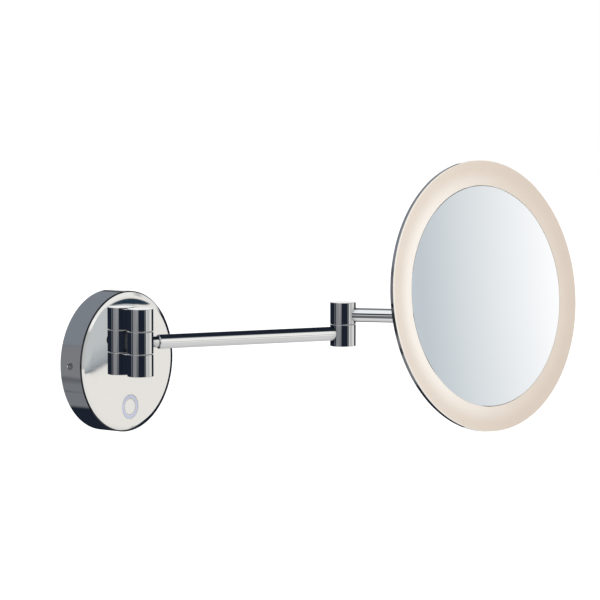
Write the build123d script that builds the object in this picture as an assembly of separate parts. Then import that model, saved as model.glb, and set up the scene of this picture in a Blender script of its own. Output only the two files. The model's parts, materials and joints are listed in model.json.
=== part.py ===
from build123d import *
from math import cos, radians, sin, sqrt
import os

# Extendable shaving mirror with a lit ring, on a round wall canopy.
# Sizes are in millimetres and angles in degrees. The origin is the canopy's centre on the wall.
# X is to the right, -Y points out of the wall and Z is up.

# Clearances shared by all pieces
fit_gap = 0.02          # radial, between pieces that are pressed or glued together
run_gap = 0.05          # radial, between a pin and what turns on it
screw_gap = 0.1         # radial, between a screw and its hole
slide_gap = 0.15        # radial, between the switch cap and its housing
edge_round = 0.3        # rounding on the rims of the turned knuckles

# Canopy
canopy_d = 120.0
canopy_depth = 23.4
canopy_wall = 1.6
canopy_bevel = 0.6
edge_band = 3.2         # width of the shallow slope round the face
edge_drop = 0.6         # how far the face falls over that slope

# Wall plate inside the canopy
plate_thick = 2.0
plate_gap = 0.3
slot_pitch = 70.0
slot_length = 10.0
slot_width = 5.2
lug_width = 12.0
lug_thick = 3.0

# Grub screws that hold the canopy on the plate's lugs
grub_d = 6.0
grub_out = 10.8         # height of the screw above the wall
grub_sink = 0.4
grub_tip = 1.0
grub_key = 3.0          # across the flats of the hexagon socket
grub_key_depth = 2.0

# Cable entry
grommet_bore = 8.0
grommet_wall = 3.0
grommet_flange = 2.0    # width and thickness of the flange on the plate

# LED driver and terminal block on the wall plate
driver_width = 40.0
driver_height = 20.0
driver_headroom = 5.4   # from the driver to the canopy's inside
driver_x = 14.0
driver_edge_gap = 2.0
driver_round = 1.5
ear_length = 6.0
ear_height = 8.0
ear_thick = 2.5
driver_screw_d = 3.0
driver_screw_head = 5.5
driver_screw_head_thick = 1.8
terminal_width = 22.0
terminal_height = 14.0
terminal_headroom = 6.4
terminal_x = -26.0
terminal_z = -24.0
terminal_poles = 3
terminal_hole_d = 3.6
terminal_hole_depth = 5.0

# Push switch in the canopy's face
switch_x = 2.4
switch_rim = 21.0       # from the canopy's edge in to the switch's axis
switch_d = 21.0
switch_seat = 0.9       # depth of the flange's seat in the canopy's face
switch_sink = 0.1       # from the canopy's face down to the switch's top
switch_gap = 0.2        # radial, between the flange and its seat
switch_border = 0.3     # metal edge outside the lit ring
ring_width = 2.8        # lit ring
ring_thick = 0.5
ring_wall = 0.45        # metal edge between the lit ring and the cap
barrel_wall = 0.95
barrel_length = 14.0
barrel_floor = 1.5
switch_nut_wall = 2.0
switch_nut_thick = 3.0
cap_thick = 4.0
cap_round = 0.3
spring_wire = 0.7
spring_gap = 2.2        # from the barrel's bore to the coil
spring_pitch = 2.1

# Knuckles and pins, the same in every upright hinge
knuckle_d = 22.0
knuckle_height = 18.6
seam = 0.5              # gap between two knuckles, filled by a washer
washer_gap = 0.05       # on each side of a washer
washer_inset = 1.2      # from the knuckle's rim in to the washer's rim
pin_d = 8.0
pin_end_gap = 0.2
cap_wall = 3.0          # metal above the blind end of a pin's bore
plug_d = 11.0
plug_thick = 2.0

# Post on the canopy's face, which carries the base link
hinge_x = -23.3
hinge_drop = 39.5       # from the canopy's top edge down to the middle of the hinge
post_gap = 0.8          # between the post and the canopy's face
post_neck_d = 9.0
stud_d = 8.0
stud_tip = 1.5
post_nut_wall = 2.5
post_nut_thick = 6.0
backing_width = 26.0
backing_height = 22.0
backing_thick = 2.5

# Base link
link_gap = 3.0          # between the rear and the front knuckles
link_web = 13.0
link_web_step = 1.0     # from the knuckles' end faces to the web's faces

# Arms
tube_d = 12.0
tube_wall = 1.4
tube_bevel = 0.8
spigot_length = 13.0
neck_length = 4.7       # bare spigot between the inner arm's knuckle and its tube
inner_length = 188.5    # axis to axis
outer_length = 88.0     # axis to axis
arm_to_seam = 8.0       # from an arm's axis to the seam of the hinge at its end

# Tilt joint behind the mirror
tilt_lift = 1.9         # of the tilt axis above the swivel's middle
fork_clear = 1.5        # from the swivel's knuckle to the fork
tongue_clear = 1.5      # from the tongue's eye to the bracket's foot
tongue_thick = 10.0
tongue_wall = 3.5
fork_thick = 4.0
fork_wall = 4.0
tilt_pin_d = 6.0
tilt_head_rim = 2.0     # head and nut beyond the pin
tilt_head_thick = 2.5
tilt_nut_thick = 4.5
tilt_nut_round = 1.2
bracket_wing = 12.5     # foot on each side of the fork
bracket_height = 26.0
bracket_thick = 3.0
bracket_round = 5.0
bracket_screw_d = 4.0
bracket_screw_head = 7.0
bracket_screw_head_thick = 2.2
bracket_screw_edge = 6.0    # from the foot's upper and lower edges in to a screw's axis
head_plate_margin = 4.0     # backing plate beyond the bracket's edges
head_plate_thick = 2.5

# Mirror head
head_depth = 20.0
rim_height = 4.6        # from the front plane to where the back starts to taper
cone_slope = 1.1        # radius lost for each millimetre of depth behind the rim
shell_wall = 0.8
shell_round = 6.0
lip = 0.4               # from the front plane down to the mirror and the lit ring
edge_lap = 1.4          # from the front plane down to the shell's edge, which the lit ring covers
mirror_d = 186.4
mirror_thick = 3.0
mirror_curve = 1200.0   # radius of the gently hollow mirror
lens_gap = 0.2          # beside the glass, all round
diffuser_width = 20.0
diffuser_thick = 2.4
carrier_lap = 1.6       # how far the lit ring rests on the carrier
pad_thick = 1.6         # foam under the mirror's edge
carrier_seat = 5.4      # width of the mirror's seat
carrier_wall = 2.0
board_edge_gap = 1.4    # from the board's shelf to the shell
board_thick = 1.5
board_depth = 9.5       # from the front plane to the board's face
led_count = 36
led_length = 3.5
led_width = 2.8
led_thick = 1.0

# The pose at rest, measured from straight out of the wall, towards +X
link_angle = -8.0
inner_angle = 63.0
outer_angle = 24.0
head_yaw = -6.8
head_tilt = 6.1         # upwards

# What follows from those sizes
canopy_r = canopy_d / 2
canopy_inner_r = canopy_r - canopy_wall
canopy_back = canopy_depth - canopy_wall
plate_r = canopy_inner_r - plate_gap
lug_outer = sqrt(plate_r ** 2 - (lug_width / 2) ** 2)
lug_height = grub_out + grub_d
cable_hole_r = grommet_bore / 2 + grommet_wall
driver_thick = canopy_back - plate_thick - driver_headroom
driver_corner = abs(driver_x) + driver_width / 2
driver_z = sqrt((plate_r - driver_edge_gap) ** 2 - driver_corner ** 2) - driver_height / 2
terminal_thick = canopy_back - plate_thick - terminal_headroom
hinge_z = canopy_r - hinge_drop
switch_z = -sqrt((canopy_r - switch_rim) ** 2 - switch_x ** 2)
seat_low = canopy_depth - switch_seat
switch_top = canopy_depth - switch_sink
ring_outer_r = switch_d / 2 - switch_border
ring_inner_r = ring_outer_r - ring_width
cap_bore_r = ring_inner_r - ring_wall
barrel_r = cap_bore_r + barrel_wall
spring_r = cap_bore_r - spring_gap - spring_wire / 2
cap_low = switch_top - cap_thick
barrel_low = canopy_depth - barrel_length
spring_low = barrel_low + barrel_floor
knuckle_r = knuckle_d / 2
washer_thick = seam - 2 * washer_gap
link_pitch = knuckle_d + link_gap
pin_r = pin_d / 2
tube_r = tube_d / 2
spigot_r = tube_r - tube_wall - fit_gap
rear_out = canopy_depth + post_gap + knuckle_r
middle_low, middle_high = -knuckle_height / 2, knuckle_height / 2
top_low = middle_high + seam
top_high = top_low + knuckle_height
below_seam = arm_to_seam - seam / 2
above_seam = -arm_to_seam + seam / 2
tongue_r = tilt_pin_d / 2 + tongue_wall
fork_r = tilt_pin_d / 2 + fork_wall
tilt_head_r = tilt_pin_d / 2 + tilt_head_rim
tilt_reach = knuckle_r + fork_clear + fork_r
fork_inner = tongue_thick / 2 + seam
fork_outer = fork_inner + fork_thick
fork_foot = -head_depth - bracket_thick
bracket_width = 2 * (fork_outer + bracket_wing)
tilt_depth = head_depth + bracket_thick + tongue_clear + tongue_r
mirror_r = mirror_d / 2
diffuser_inner_r = mirror_r + lens_gap
diffuser_outer_r = diffuser_inner_r + diffuser_width
head_r = diffuser_outer_r + lens_gap + shell_wall
shell_floor = -head_depth + shell_wall
diffuser_back = -lip - diffuser_thick
carrier_r = diffuser_inner_r + carrier_lap
seat_top = -lip - mirror_thick - pad_thick
board_back = -board_depth - board_thick
shelf_low = board_back - carrier_wall


def heading(angle):
    """A level direction, turned from straight out of the wall towards +X."""
    return Vector(sin(radians(angle)), -cos(radians(angle)), 0)


# Frames of the bodies at rest: arms run along local X, the canopy and the mirror face local Z
up = Vector(0, 0, 1)
rear_axis = Vector(hinge_x, -rear_out, hinge_z)
front_axis = rear_axis + heading(link_angle) * link_pitch
elbow_axis = front_axis + heading(inner_angle) * inner_length + up * 2 * arm_to_seam
swivel_axis = elbow_axis + heading(outer_angle) * outer_length + up * 2 * arm_to_seam
tilt_axis = swivel_axis + heading(head_yaw) * tilt_reach + up * tilt_lift
head_normal = heading(head_yaw) * cos(radians(head_tilt)) + up * sin(radians(head_tilt))
wall = Plane((0, 0, 0), x_dir=(1, 0, 0), z_dir=(0, -1, 0))
post = Plane(rear_axis, x_dir=(1, 0, 0), z_dir=(0, 0, 1))
link = Plane(rear_axis, x_dir=heading(link_angle), z_dir=(0, 0, 1))
inner_arm = Plane(front_axis, x_dir=heading(inner_angle), z_dir=(0, 0, 1))
outer_arm = Plane(elbow_axis, x_dir=heading(outer_angle), z_dir=(0, 0, 1))
swivel = Plane(swivel_axis, x_dir=heading(head_yaw), z_dir=(0, 0, 1))
head = Plane(tilt_axis + head_normal * tilt_depth, x_dir=heading(head_yaw + 90), z_dir=head_normal)

standing = (Align.CENTER, Align.CENTER, Align.MIN)
along_x = Rot(0, 90, 0)


def disc(radius, low, high):
    """A cylinder about local Z, from low to high."""
    return Pos(0, 0, low) * Cylinder(radius, high - low, align=standing)


def ring(outer, inner, low, high):
    """A flat ring about local Z, from low to high."""
    return disc(outer, low, high) - disc(inner, low, high)


def block(width, height, low, high):
    """A box centred on local Z, from low to high."""
    return Pos(0, 0, low) * Box(width, height, high - low, align=standing)


def hexagon(flats, low, high):
    """A hexagonal prism about local Z, from low to high."""
    return Pos(0, 0, low) * extrude(RegularPolygon(flats / 2, 6, major_radius=False), high - low)


def turned(points):
    """A solid turned about local Z from the corners of its half section, each a radius and a height."""
    return revolve(make_face(Polyline([(r, 0, z) for r, z in points], close=True)), Axis.Z)


def group(solids):
    """Separate solids in one node."""
    return Compound(list(solids))


def wall_plate():
    plate = disc(plate_r, 0, plate_thick) - disc(cable_hole_r, 0, plate_thick)
    slot = extrude(SlotOverall(slot_length, slot_width), plate_thick)
    for side in (-1, 1):
        plate -= Pos(side * slot_pitch / 2, 0, 0) * slot
        plate -= driver_screw_place(side) * disc(driver_screw_d / 2 + fit_gap, -plate_thick, 0)
    return wall * plate


def canopy_lugs():
    lug = Pos(lug_outer - lug_thick / 2, 0, 0) * block(lug_thick, lug_width, plate_thick, lug_height)
    lug -= Pos(0, 0, grub_out) * along_x * disc(grub_d / 2 + fit_gap, 0, canopy_r)
    return group(wall * Rot(0, 0, turn) * lug for turn in (0, 180))


def grub_screws():
    outer = canopy_r - grub_sink
    inner = lug_outer - lug_thick - grub_tip
    screw = disc(grub_d / 2, inner, outer) - hexagon(grub_key, outer - grub_key_depth, outer)
    return group(wall * Pos(0, 0, grub_out) * Rot(0, turn, 0) * screw for turn in (-90, 90))


def cable_grommet():
    flange_r = cable_hole_r + grommet_flange
    grommet = disc(cable_hole_r - fit_gap, 0, plate_thick)
    grommet += disc(flange_r, plate_thick, plate_thick + grommet_flange)
    return wall * (grommet - disc(grommet_bore / 2, 0, plate_thick + grommet_flange))


def canopy_shell():
    slope_low = canopy_depth - edge_drop
    slope_r = canopy_r - canopy_bevel
    shell = turned([
        (0, canopy_back),
        (canopy_inner_r, canopy_back),
        (canopy_inner_r, 0),
        (canopy_r, 0),
        (canopy_r, slope_low - canopy_bevel),
        (slope_r, slope_low),
        (slope_r - edge_band, canopy_depth),
        (0, canopy_depth),
    ])
    shell -= Pos(0, 0, grub_out) * along_x * disc(grub_d / 2 + screw_gap, -canopy_r, canopy_r)
    shell -= Pos(hinge_x, hinge_z, 0) * disc(stud_d / 2 + screw_gap, 0, canopy_depth)
    shell -= Pos(switch_x, switch_z, 0) * disc(barrel_r + screw_gap, 0, canopy_depth)
    shell -= Pos(switch_x, switch_z, 0) * disc(switch_d / 2 + switch_gap, seat_low, canopy_depth)
    return wall * shell


def driver_screw_place(side):
    """The foot of a driver screw's ear, on the plate."""
    return Pos(driver_x + side * (driver_width + ear_length) / 2, driver_z, plate_thick)


def led_driver():
    case = block(driver_width, driver_height, 0, driver_thick)
    case = fillet(case.edges().filter_by(Axis.Z) + case.edges().group_by(Axis.Z)[-1], driver_round)
    ears = block(driver_width + 2 * ear_length, ear_height, 0, ear_thick)
    driver = Pos(driver_x, driver_z, plate_thick) * (case + ears)
    for side in (-1, 1):
        driver -= driver_screw_place(side) * disc(driver_screw_d / 2 + screw_gap, 0, ear_thick)
    return wall * driver


def driver_screws():
    screw = disc(driver_screw_d / 2, -plate_thick, ear_thick)
    screw += disc(driver_screw_head / 2, ear_thick, ear_thick + driver_screw_head_thick)
    return group(wall * driver_screw_place(side) * screw for side in (-1, 1))


def terminal_block():
    body = block(terminal_width, terminal_height, 0, terminal_thick)
    step = terminal_width / terminal_poles
    for pole in range(terminal_poles):
        x = (pole - (terminal_poles - 1) / 2) * step
        body -= Pos(x, 0, 0) * disc(terminal_hole_d / 2, terminal_thick - terminal_hole_depth, terminal_thick)
    return wall * Pos(terminal_x, terminal_z, plate_thick) * body


def switch_place():
    """The switch's axis in the canopy's face."""
    return wall * Pos(switch_x, switch_z, 0)


def switch_housing():
    housing = disc(switch_d / 2, seat_low, switch_top) + disc(barrel_r, barrel_low, seat_low)
    housing -= ring(ring_outer_r, ring_inner_r, switch_top - ring_thick, switch_top)
    return switch_place() * (housing - disc(cap_bore_r, spring_low, switch_top))


def switch_nut():
    nut = hexagon(2 * (barrel_r + switch_nut_wall), canopy_back - switch_nut_thick, canopy_back)
    return switch_place() * (nut - disc(barrel_r + fit_gap, 0, canopy_back))


def switch_light_ring():
    low = switch_top - ring_thick
    return switch_place() * ring(ring_outer_r - fit_gap, ring_inner_r + fit_gap, low, switch_top)


def switch_cap():
    cap = disc(cap_bore_r - slide_gap, cap_low, switch_top)
    return switch_place() * fillet(cap.edges().group_by(Axis.Z)[-1], cap_round)


def switch_spring():
    height = cap_low - spring_low - spring_wire - 2 * fit_gap
    path = Helix(spring_pitch, height, spring_r)
    section = Plane(path @ 0, z_dir=path % 0) * Circle(spring_wire / 2)
    coil = sweep(section, path, is_frenet=True)
    return switch_place() * Pos(0, 0, spring_low + spring_wire / 2 + fit_gap) * coil


def knuckle(low, high):
    """A turned hinge barrel about local Z with softened rims."""
    barrel = disc(knuckle_r, low, high)
    return fillet(barrel.edges().filter_by(GeomType.CIRCLE), edge_round)


def bore(gap, low, high):
    """The hole for a hinge pin, with its radial clearance."""
    return disc(pin_r + gap, low, high)


def plug_seat(low):
    """The counterbore for a plug that closes a bore from below."""
    return disc(plug_d / 2 + fit_gap, low, low + plug_thick)


def plug(low):
    return disc(plug_d / 2, low, low + plug_thick)


def spigot(start, end):
    """A stub along local X that a tube slides over."""
    return along_x * disc(spigot_r, start, end)


def washer(seam_low):
    """The washer in the middle of a seam, on local Z."""
    low = seam_low + washer_gap
    return ring(knuckle_r - washer_inset, pin_r + run_gap, low, low + washer_thick)


def hinge_post():
    to_face = rear_out - canopy_depth
    stud_end = to_face + canopy_wall + backing_thick + post_nut_thick + stud_tip
    stem = disc(post_neck_d / 2, 0, to_face) + disc(stud_d / 2, to_face, stud_end)
    body = knuckle(middle_low, middle_high) + Rot(-90, 0, 0) * stem
    return post * (body - bore(run_gap, middle_low, middle_high))


def post_backing_plate():
    plate = block(backing_width, backing_height, canopy_back - backing_thick, canopy_back)
    plate -= disc(stud_d / 2 + screw_gap, 0, canopy_back)
    return wall * Pos(hinge_x, hinge_z, 0) * plate


def post_nut():
    high = canopy_back - backing_thick
    nut = hexagon(stud_d + 2 * post_nut_wall, high - post_nut_thick, high)
    nut -= disc(stud_d / 2 + fit_gap, 0, high)
    return wall * Pos(hinge_x, hinge_z, 0) * nut


def rear_hinge_washers():
    return group(post * washer(low) for low in (middle_high, middle_low - seam))


def link_bar(low, high):
    """Two knuckles side by side with a web between them."""
    web = Pos(link_pitch / 2, 0, 0) * block(link_pitch, link_web, low + link_web_step, high - link_web_step)
    return web + [Pos(x, 0, 0) * knuckle(low, high) for x in (0, link_pitch)]


def upper_link():
    bar = link_bar(top_low, top_high)
    for x in (0, link_pitch):
        bar -= Pos(x, 0, 0) * bore(fit_gap, top_low, top_high - cap_wall)
    return link * bar


def lower_link():
    bar = link_bar(-top_high, -top_low)
    for x in (0, link_pitch):
        bar -= Pos(x, 0, 0) * (bore(fit_gap, -top_high, -top_low) + plug_seat(-top_high))
    return link * bar


def base_pin(x):
    """A pin through both links, on the rear or the front hinge."""
    return link * Pos(x, 0, 0) * disc(pin_r, -top_high + plug_thick, top_high - cap_wall - pin_end_gap)


def link_plugs():
    return group(link * Pos(x, 0, 0) * plug(-top_high) for x in (0, link_pitch))


def front_hinge_washers():
    return group(link * Pos(link_pitch, 0, 0) * washer(low) for low in (middle_high, middle_low - seam))


def inner_arm_knuckle():
    body = knuckle(middle_low, middle_high) + spigot(0, knuckle_r + neck_length + spigot_length)
    return inner_arm * (body - bore(run_gap, middle_low, middle_high))


def saddle(x):
    """What a tube's end is cut with where it meets a knuckle's side."""
    return Pos(x, 0, 0) * disc(knuckle_r + fit_gap, -knuckle_height, knuckle_height)


def plain_tube(start, end):
    return ring(tube_r, tube_r - tube_wall, start, end)


def inner_arm_tube():
    tube = plain_tube(knuckle_r + neck_length, inner_length)
    rim = tube.edges().group_by(Axis.Z)[0].sort_by(SortBy.LENGTH)[-1]
    return inner_arm * (along_x * chamfer(rim, tube_bevel) - saddle(inner_length))


def outer_arm_tube():
    return outer_arm * (along_x * plain_tube(0, outer_length) - saddle(0) - saddle(outer_length))


def lower_knuckle(length):
    """The lower knuckle at the far end of an arm, which holds the pin."""
    low = below_seam - knuckle_height
    barrel = knuckle(low, below_seam)
    stub = Pos(length, 0, 0) * barrel + spigot(length - knuckle_r - spigot_length, length)
    return stub - Pos(length, 0, 0) * (bore(fit_gap, low, below_seam) + plug_seat(low))


def upper_knuckle():
    """The upper knuckle of a hinge, which turns on the pin in its blind bore."""
    return knuckle(above_seam, above_seam + knuckle_height)


def blind_bore():
    return bore(run_gap, above_seam, above_seam + knuckle_height - cap_wall)


def arm_pin(length):
    """The pin at the far end of an arm, from the plug up into the upper knuckle."""
    low = below_seam - knuckle_height + plug_thick
    high = below_seam + seam + knuckle_height - cap_wall - pin_end_gap
    return Pos(length, 0, 0) * disc(pin_r, low, high)


def arm_plug(length):
    return Pos(length, 0, 0) * plug(below_seam - knuckle_height)


def elbow_upper_knuckle():
    return outer_arm * (upper_knuckle() + spigot(0, knuckle_r + spigot_length) - blind_bore())


def swivel_upper_knuckle():
    tongue = Pos(0, 0, tilt_lift) * along_x * block(2 * tongue_r, tongue_thick, 0, tilt_reach)
    eye_place = Pos(tilt_reach, 0, tilt_lift) * Rot(90, 0, 0)
    eye = eye_place * disc(tongue_r, -tongue_thick / 2, tongue_thick / 2)
    hole = eye_place * disc(tilt_pin_d / 2 + run_gap, -tongue_thick, tongue_thick)
    return swivel * (upper_knuckle() + tongue + eye - hole - blind_bore())


def on_tilt_axis():
    """A frame whose Z runs along the tilt axis, in the mirror head."""
    return Pos(0, 0, -tilt_depth) * along_x


def bracket_screw_places():
    x = fork_outer + bracket_wing / 2
    y = bracket_height / 2 - bracket_screw_edge
    return [Pos(sx * x, sy * y, 0) for sx in (-1, 1) for sy in (-1, 1)]


def bracket_screw_holes(low, high):
    return [place * disc(bracket_screw_d / 2 + screw_gap, low, high) for place in bracket_screw_places()]


def tilt_bracket():
    foot = block(bracket_width, bracket_height, fork_foot, -head_depth)
    foot = fillet(foot.edges().filter_by(Axis.Z), bracket_round) - bracket_screw_holes(fork_foot, -head_depth)
    for side in (-1, 1):
        middle = side * (fork_inner + fork_outer) / 2
        ear = Pos(middle, 0, 0) * block(fork_thick, 2 * fork_r, -tilt_depth, fork_foot)
        ear += on_tilt_axis() * disc(fork_r, middle - fork_thick / 2, middle + fork_thick / 2)
        foot += ear
    return head * (foot - on_tilt_axis() * disc(tilt_pin_d / 2 + fit_gap, -fork_outer, fork_outer))


def bracket_screws():
    top = fork_foot - bracket_screw_head_thick
    screw = disc(bracket_screw_d / 2, fork_foot, shell_floor + head_plate_thick)
    cheese = disc(bracket_screw_head / 2, top, fork_foot)
    screw += fillet(cheese.edges().group_by(Axis.Z)[0], bracket_screw_head_thick / 2)
    return group(head * place * screw for place in bracket_screw_places())


def tilt_pin():
    shank = disc(tilt_pin_d / 2, -fork_outer, fork_outer + tilt_nut_thick / 2)
    button = disc(tilt_head_r, -fork_outer - tilt_head_thick, -fork_outer)
    button = fillet(button.edges().group_by(Axis.Z)[0], tilt_head_thick / 2)
    return head * on_tilt_axis() * (shank + button)


def tilt_nut():
    nut = hexagon(2 * tilt_head_r, fork_outer, fork_outer + tilt_nut_thick)
    nut = chamfer(nut.edges().group_by(Axis.Z)[-1], tilt_nut_round)
    nut -= disc(tilt_pin_d / 2 + fit_gap, fork_outer, fork_outer + tilt_nut_thick / 2)
    return head * on_tilt_axis() * nut


def tilt_washers():
    high = fork_inner - washer_gap
    flat = ring(tongue_r - washer_inset, tilt_pin_d / 2 + run_gap, high - washer_thick, high)
    return group(head * on_tilt_axis() * Rot(0, turn, 0) * flat for turn in (0, 180))


def cone_r(z):
    """The back shell's outer radius behind its rim."""
    return head_r + (z + rim_height) * cone_slope


def shelf_r():
    """The outer radius of the shelf that carries the lights, clear of the shell."""
    return cone_r(shelf_low) - shell_wall - board_edge_gap


def back_shell():
    front = -edge_lap - fit_gap
    shell = turned([
        (0, -head_depth),
        (cone_r(-head_depth), -head_depth),
        (head_r, -rim_height),
        (head_r, front),
        (head_r - shell_wall, front),
        (head_r - shell_wall, -rim_height),
        (cone_r(shell_floor) - shell_wall, shell_floor),
        (0, shell_floor),
    ])
    corner = shell.edges().filter_by(GeomType.CIRCLE).group_by(Axis.Z)[0]
    return head * (fillet(corner, shell_round) - bracket_screw_holes(-head_depth, shell_floor))


def head_backing_plate():
    width = bracket_width + 2 * head_plate_margin
    height = bracket_height + 2 * head_plate_margin
    high = shell_floor + head_plate_thick
    return head * (block(width, height, shell_floor, high) - bracket_screw_holes(shell_floor, high))


def light_carrier():
    seat_r = diffuser_inner_r - carrier_seat
    return head * turned([
        (seat_r, shell_floor),
        (seat_r, seat_top),
        (diffuser_inner_r, seat_top),
        (diffuser_inner_r, diffuser_back),
        (carrier_r, diffuser_back),
        (carrier_r, board_back),
        (shelf_r(), board_back),
        (shelf_r(), shelf_low),
        (seat_r + carrier_wall, shelf_low),
        (seat_r + carrier_wall, shell_floor),
    ])


def led_board():
    return head * ring(shelf_r(), carrier_r + fit_gap, board_back, -board_depth)


def leds():
    chip = block(led_width, led_length, -board_depth, -board_depth + led_thick)
    middle = (carrier_r + shelf_r()) / 2
    turns = [led * 360 / led_count for led in range(led_count)]
    return group(head * Rot(0, 0, turn) * Pos(middle, 0, 0) * chip for turn in turns)


def sag(radius):
    """How far the hollow mirror lies below its edge, at a radius from its centre."""
    edge = sqrt(mirror_curve ** 2 - mirror_r ** 2)
    return sqrt(mirror_curve ** 2 - radius ** 2) - edge


def mirror_glass():
    front = [(r, 0, -lip - sag(r)) for r in (0, mirror_r / 2, mirror_r)]
    back = [(r, 0, -lip - mirror_thick - sag(r)) for r in (0, mirror_r / 2, mirror_r)]
    edges = [
        ThreePointArc(*front),
        Line(front[-1], back[-1]),
        ThreePointArc(*back),
        Line(back[0], front[0]),
    ]
    return head * revolve(make_face(edges), Axis.Z)


def mirror_pad():
    outer = mirror_r
    inner = diffuser_inner_r - carrier_seat
    top = -lip - mirror_thick - fit_gap
    return head * turned([
        (inner, seat_top),
        (outer, seat_top),
        (outer, top - sag(outer)),
        (inner, top - sag(inner)),
    ])


def diffuser_ring():
    lens = ring(diffuser_outer_r, diffuser_inner_r, diffuser_back, -lip)
    return head * (lens + ring(head_r, diffuser_inner_r, -edge_lap, -lip))


def main():
    nodes = {
        "wall_plate": wall_plate(),
        "canopy_lugs": canopy_lugs(),
        "cable_grommet": cable_grommet(),
        "terminal_block": terminal_block(),
        "led_driver": led_driver(),
        "driver_screws": driver_screws(),
        "canopy_shell": canopy_shell(),
        "grub_screws": grub_screws(),
        "hinge_post": hinge_post(),
        "post_backing_plate": post_backing_plate(),
        "post_nut": post_nut(),
        "rear_hinge_washers": rear_hinge_washers(),
        "switch_housing": switch_housing(),
        "switch_nut": switch_nut(),
        "switch_light_ring": switch_light_ring(),
        "switch_cap": switch_cap(),
        "switch_spring": switch_spring(),
        "upper_link": upper_link(),
        "lower_link": lower_link(),
        "rear_hinge_pin": base_pin(0),
        "front_hinge_pin": base_pin(link_pitch),
        "link_plugs": link_plugs(),
        "front_hinge_washers": front_hinge_washers(),
        "inner_arm_knuckle": inner_arm_knuckle(),
        "inner_arm_tube": inner_arm_tube(),
        "elbow_lower_knuckle": inner_arm * lower_knuckle(inner_length),
        "elbow_pin": inner_arm * arm_pin(inner_length),
        "elbow_plug": inner_arm * arm_plug(inner_length),
        "elbow_washer": inner_arm * Pos(inner_length, 0, 0) * washer(below_seam),
        "elbow_upper_knuckle": elbow_upper_knuckle(),
        "outer_arm_tube": outer_arm_tube(),
        "swivel_lower_knuckle": outer_arm * lower_knuckle(outer_length),
        "swivel_pin": outer_arm * arm_pin(outer_length),
        "swivel_plug": outer_arm * arm_plug(outer_length),
        "swivel_washer": outer_arm * Pos(outer_length, 0, 0) * washer(below_seam),
        "swivel_upper_knuckle": swivel_upper_knuckle(),
        "tilt_bracket": tilt_bracket(),
        "bracket_screws": bracket_screws(),
        "tilt_pin": tilt_pin(),
        "tilt_nut": tilt_nut(),
        "tilt_washers": tilt_washers(),
        "back_shell": back_shell(),
        "head_backing_plate": head_backing_plate(),
        "light_carrier": light_carrier(),
        "led_board": led_board(),
        "leds": leds(),
        "mirror_pad": mirror_pad(),
        "mirror_glass": mirror_glass(),
        "diffuser_ring": diffuser_ring(),
    }
    os.makedirs("parts", exist_ok=True)
    for name, solid in nodes.items():
        export_step(solid, f"parts/{name}.step")


if __name__ == "__main__":
    main()
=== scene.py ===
import json
import math

import bmesh
import bpy
from mathutils import Matrix, Vector


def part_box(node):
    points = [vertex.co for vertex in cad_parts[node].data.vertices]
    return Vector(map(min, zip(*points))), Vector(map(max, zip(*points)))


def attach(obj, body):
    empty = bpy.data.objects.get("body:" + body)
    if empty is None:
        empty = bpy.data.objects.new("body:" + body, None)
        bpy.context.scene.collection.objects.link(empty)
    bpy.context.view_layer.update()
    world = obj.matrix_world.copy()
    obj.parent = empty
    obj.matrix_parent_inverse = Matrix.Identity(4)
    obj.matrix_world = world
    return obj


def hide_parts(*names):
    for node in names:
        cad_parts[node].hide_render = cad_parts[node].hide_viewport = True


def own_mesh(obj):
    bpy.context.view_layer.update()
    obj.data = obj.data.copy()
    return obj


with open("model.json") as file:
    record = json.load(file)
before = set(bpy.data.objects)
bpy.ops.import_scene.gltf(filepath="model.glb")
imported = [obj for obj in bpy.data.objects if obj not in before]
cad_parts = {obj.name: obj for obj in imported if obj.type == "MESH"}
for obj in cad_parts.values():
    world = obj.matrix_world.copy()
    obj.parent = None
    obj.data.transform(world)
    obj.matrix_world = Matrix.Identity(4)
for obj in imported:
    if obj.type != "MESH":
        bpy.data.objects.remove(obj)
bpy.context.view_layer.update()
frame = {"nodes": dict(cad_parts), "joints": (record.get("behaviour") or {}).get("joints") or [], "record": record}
nodes = frame["nodes"]
scene = bpy.context.scene


def directions(yaw, lift):
    """Across, up and out for something that faces away from the wall, turned and tipped up by these degrees."""
    yaw, lift = math.radians(yaw), math.radians(lift)
    out = Vector((math.sin(yaw) * math.cos(lift), -math.cos(yaw) * math.cos(lift), math.sin(lift)))
    across = Vector((math.cos(yaw), math.sin(yaw), 0))
    return across, out.cross(across), out


# The mirror head's own frame: its turn, and the middle of its front edge, which is ahead of the tilt axis
head_yaw, head_tilt, head_ahead = -6.8, 6.1, 0.031
head_axes = directions(head_yaw, head_tilt)
head_turn = Matrix(head_axes).transposed()
tilt_axis = Vector(next(joint for joint in frame["joints"] if joint["name"] == "head_tilt")["pos_m"])
head_middle = tilt_axis + head_axes[2] * head_ahead


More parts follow.
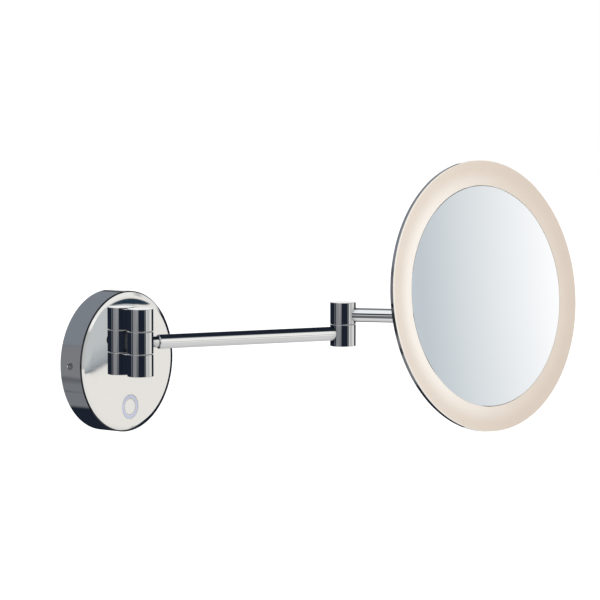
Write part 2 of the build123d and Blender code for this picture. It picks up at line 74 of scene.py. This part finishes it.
class Wire:
    """An output of a shader node. Arithmetic on it adds Math nodes to the same tree."""

    def __init__(self, tree, socket=None):
        self.tree, self.socket = tree, socket

    def node(self, kind, settings=(), inputs=(), out=0):
        """Adds a node: its settings first, then the values or links of its sockets."""
        made = self.tree.nodes.new(kind)
        for key, value in dict(settings).items():
            setattr(made, key, value)
        for key, value in dict(inputs).items():
            self.plug(value, made.inputs[key])
        return Wire(self.tree, made.outputs[out])

    def plug(self, value, socket):
        """Links a wire to a socket, or sets the socket to a plain value."""
        if isinstance(value, Wire):
            self.tree.links.new(value.socket, socket)
        elif isinstance(value, tuple) and len(value) == 3 and socket.type == "RGBA":
            socket.default_value = (*value, 1)
        else:
            socket.default_value = value

    def math(self, operation, *values):
        return self.node("ShaderNodeMath", {"operation": operation}, enumerate(values))

    def __add__(self, other):
        return self.math("ADD", self, other)

    def __sub__(self, other):
        return self.math("SUBTRACT", self, other)

    def __rsub__(self, other):
        return self.math("SUBTRACT", other, self)

    def __mul__(self, other):
        return self.math("MULTIPLY", self, other)

    def __truediv__(self, other):
        return self.math("DIVIDE", self, other)

    def __pow__(self, other):
        return self.math("POWER", self, other)

    def __abs__(self):
        return self.math("ABSOLUTE", self)

    __radd__, __rmul__ = __add__, __mul__

    def at_least(self, least):
        return self.math("MAXIMUM", self, least)

    def ease(self, low, high):
        """0 below low, 1 above high, and a smooth step between."""
        values = {"Value": self, "From Min": low, "From Max": high}
        return self.node("ShaderNodeMapRange", {"interpolation_type": "SMOOTHSTEP"}, values)

    def between(self, rise, fall):
        """1 between two limits, with a smooth step at each: up over rise, and down over fall."""
        return self.ease(*rise) * (1 - self.ease(*fall))

    def mix(self, first, second):
        """The first colour where this wire is 0 and the second where it is 1."""
        return self.node("ShaderNodeMix", {"data_type": "RGBA"}, {0: self, 6: first, 7: second}, out=2)

    def parts(self):
        """The three numbers of a vector."""
        split = self.node("ShaderNodeSeparateXYZ", (), {0: self})
        return [Wire(self.tree, out) for out in split.socket.node.outputs]

    def placed(self, middle=(0, 0, 0), turn=(0, 0, 0), scale=(1, 1, 1)):
        """These coordinates seen from a frame of their own."""
        values = {0: self, "Location": middle, "Rotation": turn, "Scale": scale}
        return self.node("ShaderNodeMapping", {"vector_type": "TEXTURE"}, values)

    def noise(self, scale, detail=2.0):
        """Soft random blotches, this many to a metre."""
        return self.node("ShaderNodeTexNoise", (), {"Vector": self, "Scale": scale, "Detail": detail})

    def bump(self, strength=1.0, distance=1.0):
        """A normal raised by this wire's height."""
        values = {"Strength": strength, "Distance": distance, "Height": self}
        return self.node("ShaderNodeBump", (), values)


def from_axis(first, second):
    """How far a point is from an axis, from its two distances across that axis."""
    return (first * first + second * second) ** 0.5


def finish(name, **sockets):
    """A new material with plain values on its Principled shader, and the piece's own coordinates."""
    material = bpy.data.materials.new(name)
    material.use_nodes = True
    place = Wire(material.node_tree).node("ShaderNodeTexCoord", out="Object")
    coat(material, **sockets)
    return material, place


def coat(material, **sockets):
    """Sets or links sockets of a material's Principled shader, named with underscores for spaces."""
    shader = material.node_tree.nodes["Principled BSDF"]
    for key, value in sockets.items():
        Wire(material.node_tree).plug(value, shader.inputs[key.replace("_", " ")])


def chrome(name="chrome"):
    """Polished chrome with faint smears, haze and rub marks. Gives its coordinates and its colour as well."""
    material, place = finish(name, Metallic=1.0)
    smear = place.noise(38, 3)
    haze = place.noise(420)
    rub_mark = (0.03, 0.03, 0.0006)
    rubbed = place.placed(scale=rub_mark).noise(1)
    polished = smear.mix((0.90, 0.905, 0.91), (0.94, 0.943, 0.947))
    coat(material, Base_Color=polished, Roughness=0.012 + 0.02 * smear * haze + 0.01 * rubbed)
    return material, place, polished


def canopy_chrome():
    """Chrome on the wall canopy: its flat face rolls off, and a dark reflection is painted on the arris round it."""
    roll_start, roll_depth = 0.047, 1.75
    arris_inside, arris_behind = (0.0588, 0.0591), (-0.0220, -0.0216)
    painted_arris_reflection = (0.06, 0.065, 0.075)
    material, place, polished = chrome("canopy_chrome")
    x, y, z = place.parts()
    radius = from_axis(x, z)
    past = (radius - roll_start).at_least(0.0)
    # Painted dark reflection: the colour is darkened in a thin band along the arris, all the way round.
    arris = radius.ease(*arris_inside) * (1 - y.ease(*arris_behind))
    coat(
        material,
        Base_Color=arris.mix(polished, painted_arris_reflection),
        Normal=(-roll_depth * past * past).bump(),
    )
    return material


def knuckle_chrome():
    """Chrome on the knuckles and arms, with painted shade: seams and gaps too narrow for light to reach are darkened
    in its colour.
    """
    gap_reach, closed, wide_open = 0.006, 0.5, 0.985
    painted_gap_shade = (0.05, 0.055, 0.065)
    material, place, polished = chrome("knuckle_chrome")
    # Painted shade: ambient occlusion darkens the colour in seams and in gaps between parts.
    reached = place.node("ShaderNodeAmbientOcclusion", {"samples": 8}, {"Distance": gap_reach}, out="AO")
    coat(material, Base_Color=reached.ease(closed, wide_open).mix(painted_gap_shade, polished))
    return material


def shell_chrome():
    """Chrome on the mirror's back shell, whose spun back is faintly domed."""
    dome = 0.7
    material, place, _ = chrome("shell_chrome")
    x, y, z = place.placed(head_middle, head_turn.to_euler()).parts()
    coat(material, Normal=(-dome * (x * x + y * y)).bump())
    return material


def steel():
    """Bare steel, brushed along the wall."""
    brush_mark = (0.02, 0.0004, 0.0004)
    material, place = finish("steel", Metallic=1.0)
    brushed = place.placed(scale=brush_mark).noise(1, 3)
    blotch = place.noise(60, 3)
    coat(
        material,
        Base_Color=blotch.mix((0.50, 0.51, 0.52), (0.62, 0.62, 0.61)),
        Roughness=0.28 + 0.16 * brushed,
        Normal=brushed.bump(0.15, 0.0001),
    )
    return material


def moulded(name, dark, light, roughness, grain=1600):
    """Moulded plastic or rubber with a fine spark-eroded grain."""
    material, place = finish(name)
    fine = place.noise(grain)
    cloud = place.noise(50, 3)
    coat(
        material,
        Base_Color=cloud.mix(dark, light),
        Roughness=roughness - 0.06 + 0.12 * fine,
        Normal=fine.bump(0.2, 0.00006),
    )
    return material


def mirror():
    """Silvered glass with a hardly visible film."""
    material, place = finish("mirror", Metallic=1.0, Coat_Roughness=0.01)
    film = place.noise(24, 3)
    coat(
        material,
        Base_Color=film.mix((0.955, 0.965, 0.97), (0.965, 0.975, 0.98)),
        Roughness=0.004 + 0.008 * film,
        Coat_Weight=0.3,
    )
    return material


def frosted_glass():
    """The lit ring round the mirror: warm and brighter towards the mirror, with painted light on its left that makes
    it cooler and brighter there.
    """
    bright_inside, rim, painted_left_glow_span = (0.0945, 0.1095), (0.1133, 0.1142), (-0.105, 0.06)
    material, place = finish("frosted_glass", IOR=1.49, Emission_Strength=1.0)
    x, y, z = place.placed(head_middle, head_turn.to_euler()).parts()
    radius = from_axis(x, y)
    inner = 1 - radius.ease(*bright_inside)
    outer_edge = radius.ease(*rim)
    # Painted light: the glow is made brighter and cooler on the ring's left, as it looks from the front left, fixed to
    # the ring.
    left = 1 - x.ease(*painted_left_glow_span)
    etched = place.noise(2600)
    cloud = place.noise(45)
    lit = inner * (0.2 + 0.6 * left) + left * (0.3 + 0.6 * outer_edge) + 0.04 * cloud
    coat(
        material,
        Base_Color=cloud.mix((0.70, 0.62, 0.53), (0.73, 0.65, 0.56)),
        Roughness=0.42 + 0.1 * etched,
        Emission_Color=lit.mix((0.07, 0.04, 0.025), (0.29, 0.30, 0.31)),
        Normal=etched.bump(0.08, 0.00004),
    )
    return material


def switch_light():
    """The ring round the push button: its light is weaker towards both edges."""
    inner_edge, outer_edge = (0.72, 0.78), (0.93, 0.99)
    low, high = (Vector(corner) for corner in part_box("switch_light_ring"))
    material, place = finish("switch_light", Emission_Strength=1.0)
    x, y, z = place.placed((low + high) / 2).parts()
    out = from_axis(x, z) / ((high.x - low.x) / 2)
    edge = out.ease(*outer_edge) + (1 - out.ease(*inner_edge))
    cloud = place.noise(900)
    glow = cloud.mix((0.16, 0.17, 0.26), (0.20, 0.21, 0.30))
    coat(
        material,
        Base_Color=cloud.mix((0.50, 0.52, 0.60), (0.54, 0.56, 0.64)),
        Roughness=0.3 + 0.1 * cloud,
        Emission_Color=edge.mix(glow, (0.02, 0.02, 0.03)),
    )
    return material


finishes = {
    "chrome": chrome()[0],
    "steel": steel(),
    "black_nylon": moulded("black_nylon", (0.012, 0.012, 0.013), (0.02, 0.02, 0.022), 0.5),
    "rubber": moulded("rubber", (0.018, 0.018, 0.018), (0.03, 0.03, 0.03), 0.7, 900),
    "terminal_plastic": moulded("terminal_plastic", (0.70, 0.70, 0.67), (0.76, 0.76, 0.73), 0.35),
    "driver_case": moulded("driver_case", (0.58, 0.58, 0.56), (0.64, 0.64, 0.62), 0.45),
    "carrier_plastic": moulded("carrier_plastic", (0.78, 0.78, 0.75), (0.84, 0.84, 0.81), 0.5),
    "circuit_board": moulded("circuit_board", (0.74, 0.75, 0.72), (0.80, 0.80, 0.77), 0.4),
    "led_chip": moulded("led_chip", (0.80, 0.62, 0.16), (0.86, 0.70, 0.22), 0.35),
    "foam": moulded("foam", (0.04, 0.04, 0.042), (0.07, 0.07, 0.072), 0.9, 700),
    "mirror": mirror(),
    "frosted_glass": frosted_glass(),
    "switch_light": switch_light(),
}
arm_pieces = (
    "hinge_post", "upper_link", "lower_link", "inner_arm_knuckle", "inner_arm_tube", "elbow_lower_knuckle",
    "elbow_upper_knuckle", "outer_arm_tube", "swivel_lower_knuckle", "swivel_upper_knuckle",
)
own_chrome = {"canopy_shell": canopy_chrome(), "back_shell": shell_chrome()}
own_chrome.update(dict.fromkeys(arm_pieces, knuckle_chrome()))
for part in frame["record"]["subparts"]:
    for slot in nodes[part["node"]].material_slots:
        slot.material = own_chrome.get(part["node"], finishes[part["material_slot"]])
for piece in nodes.values():
    piece.visible_glossy = False


def shown(name, mesh):
    """A new object from a bmesh, with its place in its mesh."""
    data = bpy.data.meshes.new(name)
    mesh.to_mesh(data)
    mesh.free()
    made = bpy.data.objects.new(name, data)
    scene.collection.objects.link(made)
    return made


def turned(profile, steps):
    """A closed shape turned about the mirror head's axis from its half section, each point a radius and a height."""
    mesh = bmesh.new()
    points = [mesh.verts.new((radius, 0, height)) for radius, height in profile]
    edges = [mesh.edges.new(pair) for pair in zip(points, points[1:])]
    axis = {"cent": (0, 0, 0), "axis": (0, 0, 1), "dvec": (0, 0, 0)}
    bmesh.ops.spin(mesh, geom=points + edges, angle=math.tau, steps=steps, use_merge=True, **axis)
    bmesh.ops.remove_doubles(mesh, verts=mesh.verts, dist=1e-7)
    bmesh.ops.recalc_face_normals(mesh, faces=mesh.faces)
    for face in mesh.faces:
        face.smooth = True
    bmesh.ops.transform(mesh, matrix=Matrix.Translation(head_middle) @ head_turn.to_4x4(), verts=mesh.verts)
    return mesh


def mirror_glass():
    """The hollow mirror with its ground edge."""
    edge, curve, thick, lip, arris = 0.0932, 1.2, 0.003, 0.0004, 0.00035
    rings, around, sharp = 40, 128, math.radians(20)

    def depth(radius):
        return math.sqrt(curve ** 2 - radius ** 2) - math.sqrt(curve ** 2 - edge ** 2)

    radii = [(edge - arris) * ring / rings for ring in range(rings + 1)]
    front = [(radius, -lip - depth(radius)) for radius in radii]
    back = [(radius, height - thick) for radius, height in reversed(front)]
    rim = [(edge, -lip - arris), (edge, -lip - thick)]
    glass = shown("mirror_glass_ground", turned(front + rim + back, around))
    glass.data.set_sharp_from_angle(angle=sharp)
    glass.data.materials.append(finishes["mirror"])
    glass.visible_glossy = False
    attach(glass, "mirror_head")
    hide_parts("mirror_glass")


def switch_spring():
    """The push button's return spring: a wire coil."""
    low, high = (Vector(corner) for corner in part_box("switch_spring"))
    wire, pitch, slack, travel = 0.00035, 0.0021, 0.00005, 0.0012
    sides, steps = 12, 24
    middle = Vector(((low.x + high.x) / 2, high.y, (low.z + high.z) / 2))
    coil_radius = (high.x - low.x) / 2 - wire
    around = int((high.y - low.y - 2 * wire - 2 * slack) / pitch * steps)
    mesh = bmesh.new()
    bmesh.ops.create_circle(mesh, segments=sides, radius=wire)
    start = middle + Vector((coil_radius, -wire - slack, 0))
    bmesh.ops.translate(mesh, verts=mesh.verts, vec=start)
    section = mesh.verts[:] + mesh.edges[:]
    stroke = {"cent": middle, "axis": (0, 1, 0), "dvec": (0, -pitch / steps, 0)}
    bmesh.ops.spin(mesh, geom=section, angle=math.tau * around / steps, steps=around, **stroke)
    bmesh.ops.holes_fill(mesh, edges=[edge for edge in mesh.edges if edge.is_boundary], sides=sides)
    bmesh.ops.recalc_face_normals(mesh, faces=mesh.faces)
    for face in mesh.faces:
        face.smooth = len(face.verts) == 4
    coil = shown("switch_spring_coil", mesh)
    coil.data.materials.append(finishes["steel"])
    coil.visible_glossy = False
    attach(coil, "canopy")
    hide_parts("switch_spring")
    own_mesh(coil)


def studio_floor():
    """A pale floor far below the object."""
    half_width, height = 30, -1.9
    mesh = bmesh.new()
    bmesh.ops.create_grid(mesh, x_segments=1, y_segments=1, size=half_width)
    bmesh.ops.translate(mesh, verts=mesh.verts, vec=(0, 0, height))
    floor = shown("studio_floor", mesh)
    material, place = finish("studio_floor", Roughness=0.9, Base_Color=(0.9, 0.9, 0.9), Specular_IOR_Level=0.0)
    camera_ray = place.node("ShaderNodeLightPath", out="Is Camera Ray")
    coat(material, Emission_Color=camera_ray.mix((0, 0, 0), (0.6, 0.6, 0.6)), Emission_Strength=1.0)
    floor.data.materials.append(material)
    floor.visible_glossy = False


# Panels of the studio tent, which only polished surfaces see. Each has its reach in degrees round the object,
# counted from the front left towards +X, its reach up and down, how soft its edges are, and its colour.
# A later panel lies over an earlier one.
dark_room = (0.012, 0.017, 0.028)
panels = {
    "room_front": ((-18, 46), (-3, 25), (3, 3), (0.60, 0.625, 0.64)),
    "room_left": ((-68, -34), (-3, 28), (3, 3), (0.44, 0.455, 0.47)),
    "room_left_low": ((-72, -46), (-58, -8), (3, 3), (0.38, 0.39, 0.40)),
    "room_below": ((-20, 38), (-34, -8), (4, 4), (0.34, 0.35, 0.36)),
    "room_upper": ((-16, 60), (27, 84), (4, 4), (0.30, 0.31, 0.33)),
    "wall_right": ((128, 186), (-48, -9), (6, 3), (0.56, 0.57, 0.58)),
    "wall_upper": ((128, 152), (8, 34), (6, 4), (0.50, 0.51, 0.52)),
    "wall_left": ((-158, -120), (-28, -9), (8, 4), (0.52, 0.53, 0.54)),
    "wall_side": ((-122, -86), (-20, 13), (6, 4), (0.17, 0.175, 0.19)),
    "knuckle_dark": ((-200, 200), (-6.9, -4.6), (1, 0.4), dark_room),
    "slate_high": ((-185, -71), (16, 78), (4, 6), (0.205, 0.225, 0.255)),
    "slate_low": ((-118, -71), (-56, -20), (5, 10), (0.175, 0.185, 0.20)),
    "head_edge": ((-128, -85), (-24, -9), (1.5, 3), (0.025, 0.03, 0.034)),
    "head_edge_low": ((-128, -92.5), (-36, -23), (1.5, 1.5), (0.03, 0.035, 0.04)),
    "rim_grey": ((-82.5, -76.5), (-24, 20), (1.0, 4), (0.20, 0.205, 0.22)),
    "left_grey": ((-66, -33), (-10, -3), (2.5, 1), (0.24, 0.245, 0.26)),
    "low_front": ((-46, -20), (-41, -9), (4, 3), (0.13, 0.135, 0.145)),
    "thin_light": ((-36, -14), (-5, 9), (3, 3), (0.55, 0.56, 0.57)),
    "upper_dark": ((-32, -18), (10, 26), (2, 3), (0.02, 0.025, 0.035)),
    "upper_left": ((-70, -25), (32, 84), (4, 4), (0.90, 0.92, 0.93)),
    "upper_strip": ((-140, -60), (69, 84), (6, 3), (0.90, 0.92, 0.93)),
    "table": ((42, 182), (-95, -50), (8, 4), (0.62, 0.62, 0.62)),
    "table_all": ((-190, 190), (-95, -59), (8, 3), (0.58, 0.58, 0.58)),
    "table_left": ((-62, -26), (-90, -44), (4, 2.5), (0.70, 0.70, 0.70)),
    "front_low": ((-22, 38), (-95, -42), (4, 4), (0.10, 0.105, 0.115)),
    "table_right": ((32, 140), (-62, -20), (6, 8), (0.66, 0.66, 0.65)),
    "front_right": ((47, 120), (-24, 37), (1.5, 5), (0.50, 0.505, 0.50)),
    "front_bright": ((47, 62), (-22, 37), (1.2, 5), (0.88, 0.875, 0.85)),
    "hinge_gap": ((40, 57), (-8, -4), (1.2, 0.6), (0.13, 0.135, 0.14)),
    "front_edge": ((110, 119), (-24, 37), (1.5, 5), (0.78, 0.78, 0.76)),
    "face_side": ((92, 108), (-25, 9), (1.5, 3), (0.845, 0.82, 0.78)),
    "edge_dark": ((64, 145), (24, 75), (2, 4), dark_room),
    "room_ceiling": ((82, 112), (29, 56), (4, 4), (0.50, 0.52, 0.54)),
    "edge_light": ((66, 106), (5, 20), (2, 1), (0.88, 0.87, 0.85)),
    "edge_light_low": ((66, 94), (-26, -6.9), (2, 0.4), (0.82, 0.80, 0.76)),
    "edge_dark_low": ((92, 145), (-48, -26), (2, 1.5), dark_room),
    "far_strip": ((150, 190), (1, 9), (5, 2), (0.9, 0.9, 0.9)),
    "far_strip_left": ((-190, -150), (1, 9), (5, 2), (0.9, 0.9, 0.9)),
}


def limits(low, high, soft):
    """The two smooth steps of a panel's edges."""
    return (low - soft, low + soft), (high - soft, high + soft)


def canopy_panels(colour, around, above):
    """What the canopy's face sees: a blue-grey panel on its left, and a dark gap that its rolled edge arches."""
    lower_edge = (0.593 * around - 65.922).at_least(0.0794 * around - 14.259)
    inside = above - lower_edge
    panel = around.between((96.3, 96.9), (101.2, 101.7)) * inside.ease(-0.012, 0.012)
    blue_grey = inside.ease(0.15, 0.5).mix((0.40, 0.43, 0.45), (0.53, 0.555, 0.56))
    blue_grey = inside.ease(-0.03, 0.17).mix((0.095, 0.11, 0.13), blue_grey)
    colour = (panel * (1 - above.ease(-3.3, -2.9))).mix(colour, blue_grey)
    gap_middle, gap_foot, gap_slope = 101.4, -4.7, 0.75
    gap = above - gap_foot - gap_slope * abs(around - gap_middle)
    return (gap.ease(0.0, 0.2) * (1 - above.ease(-3.35, -3.0))).mix(colour, (0.018, 0.036, 0.06))


def canopy_edge(colour, around, above):
    """What the edge of that face sees on its right and below: the dark room past the panels."""
    middle, reach = (98.5, -6), (25.5, 17.7)
    past = (((around - middle[0]) / reach[0]) ** 2 + ((above - middle[1]) / reach[1]) ** 2) ** 0.5
    line = past.ease(1.02, 1.032) * around.between((88, 91), (146, 150)) * above.between((-50, -46), (8, 10))
    return line.mix(colour, dark_room)


def mirror_panel(colour, around, above):
    """What the mirror sees: white, fading to blue-grey on the right."""
    fade_start, fade_width = 85, 14.5
    fade = ((around - fade_start) / fade_width).at_least(0.0)
    panel = around.between((78, 84), (103, 104)) * above.between((-1.5, -0.9), (7.5, 8.5))
    return panel.mix(colour, fade.mix((1.05, 1.05, 1.05), (0.545, 0.595, 0.63)))


def studio_tent():
    """A large tent of pale and dark panels round the object, seen in reflections alone."""
    tent_radius, front_left = 20, -52
    mesh = bmesh.new()
    bmesh.ops.create_uvsphere(mesh, u_segments=48, v_segments=24, radius=tent_radius)
    tent = shown("studio_tent", mesh)
    material, place = finish("studio_tent", Base_Color=(0, 0, 0), Specular_IOR_Level=0.0, Emission_Strength=1.0)
    x, y, z = place.placed(turn=(0, 0, math.radians(front_left))).parts()
    around = math.degrees(1) * place.math("ARCTAN2", x, 0 - y)
    above = math.degrees(1) * place.math("ARCSINE", z / tent_radius)
    colour = dark_room
    for (left, right), (low, high), (soft, soft_up), paint in panels.values():
        panel = around.between(*limits(left, right, soft)) * above.between(*limits(low, high, soft_up))
        colour = panel.mix(colour, paint)
    for special in (canopy_panels, canopy_edge, mirror_panel):
        colour = special(colour, around, above)
    coat(material, Emission_Color=colour)
    tent.data.materials.append(material)
    tent.visible_camera = tent.visible_diffuse = tent.visible_shadow = False


def studio_world():
    """A plain white world, a little weaker as light than as background."""
    light, background = 0.7, 1.0
    scene.world = bpy.data.worlds.new("studio")
    scene.world.use_nodes = True
    tree = scene.world.node_tree
    rays = Wire(tree).node("ShaderNodeLightPath").socket.node.outputs
    camera_ray, glossy, through = (Wire(tree, rays[f"Is {kind} Ray"]) for kind in ("Camera", "Glossy", "Transmission"))
    seen = camera_ray.at_least(glossy).at_least(through)
    sky = tree.nodes["Background"].inputs
    seen.plug((1.0, 1.0, 1.0), sky["Color"])
    seen.plug(light + (background - light) * seen, sky["Strength"])


def softbox(name, place, aim, size, watts):
    """A square soft lamp that reflections don't show."""
    lamp = bpy.data.lights.new(name, "AREA")
    lamp.size, lamp.energy = size, watts
    holder = bpy.data.objects.new(name, lamp)
    holder.location = place
    holder.rotation_euler = (Vector(aim) - Vector(place)).to_track_quat("-Z", "Y").to_euler()
    holder.visible_glossy = False
    scene.collection.objects.link(holder)


def camera():
    """The photograph's viewpoint: a long lens, from the left of the wall canopy and a little above it."""
    round_wall, lift = -52.142, 5.091
    aside, raised, away = 0.164607, 0.050876, 2.990012
    right, up, back = directions(round_wall, lift)
    lens = bpy.data.cameras.new("camera")
    lens.lens, lens.sensor_width, lens.clip_end = 210, 36, 100
    holder = bpy.data.objects.new("camera", lens)
    turn = Matrix((right, up, back)).transposed().to_4x4()
    holder.matrix_world = Matrix.Translation(back * away + right * aside + up * raised) @ turn
    scene.collection.objects.link(holder)
    scene.camera = holder


mirror_glass()
switch_spring()
studio_floor()
studio_tent()
studio_world()
softbox("key", (-1.4, -1.6, 1.7), (0.08, -0.13, 0.05), 1.4, 26)
camera()
scene.view_settings.view_transform = "Standard"
